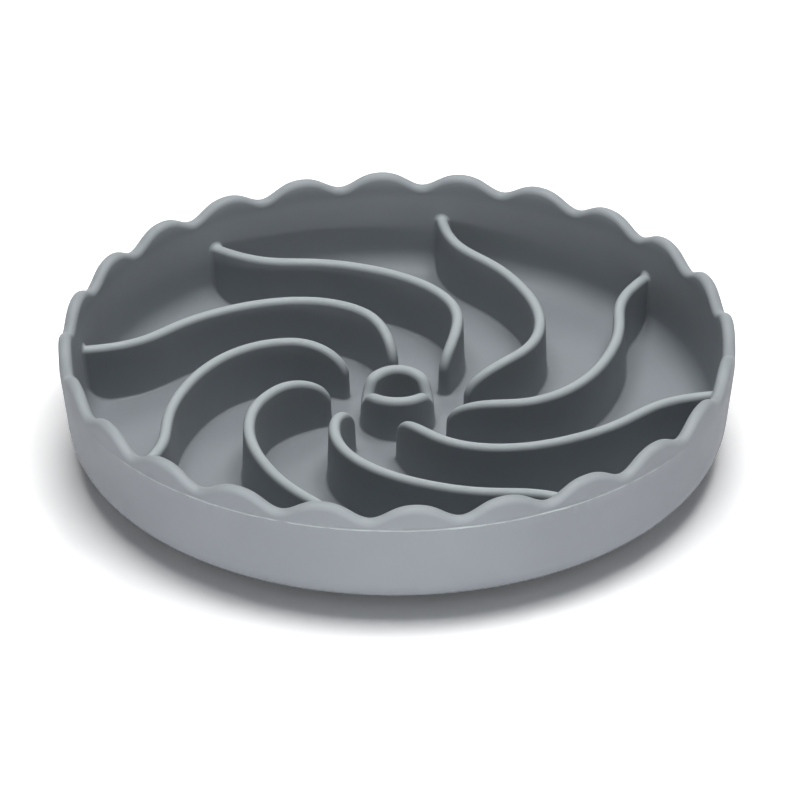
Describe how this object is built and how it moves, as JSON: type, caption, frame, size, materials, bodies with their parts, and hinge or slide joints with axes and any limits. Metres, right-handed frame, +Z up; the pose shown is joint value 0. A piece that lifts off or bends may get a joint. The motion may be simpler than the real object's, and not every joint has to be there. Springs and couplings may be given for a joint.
{
  "type": "slow feeder dog bowl",
  "caption": "Round low pet bowl with a scalloped rim, spiralling S-curved ribs round a waved hub ring and suction cups below, to slow a dog's eating.",
  "frame": {"origin": "centre of the bowl at the level of the table under the suction cups", "axes": "+Z up along the bowl's axis; the camera of the picture looks along +Y, with +X to its right"},
  "size_m": [0.21, 0.21, 0.0406],
  "materials": {
    "bowl_silicone": "matte moulded silicone",
    "rib_silicone": "matte moulded silicone",
    "hub_silicone": "matte moulded silicone",
    "cup_silicone": "matte moulded silicone"
  },
  "bodies": {
    "root": {"bowl_body": "bowl_silicone", "rib_1": "rib_silicone", "rib_2": "rib_silicone", "rib_3": "rib_silicone", "rib_4": "rib_silicone", "rib_5": "rib_silicone", "rib_6": "rib_silicone", "rib_7": "rib_silicone", "rib_8": "rib_silicone", "hub_ring": "hub_silicone", "suction_cup_1": "cup_silicone", "suction_cup_2": "cup_silicone", "suction_cup_3": "cup_silicone", "suction_cup_4": "cup_silicone", "suction_cup_5": "cup_silicone", "suction_cup_6": "cup_silicone", "suction_cup_7": "cup_silicone", "suction_cup_8": "cup_silicone"}
  },
  "joints": []
}
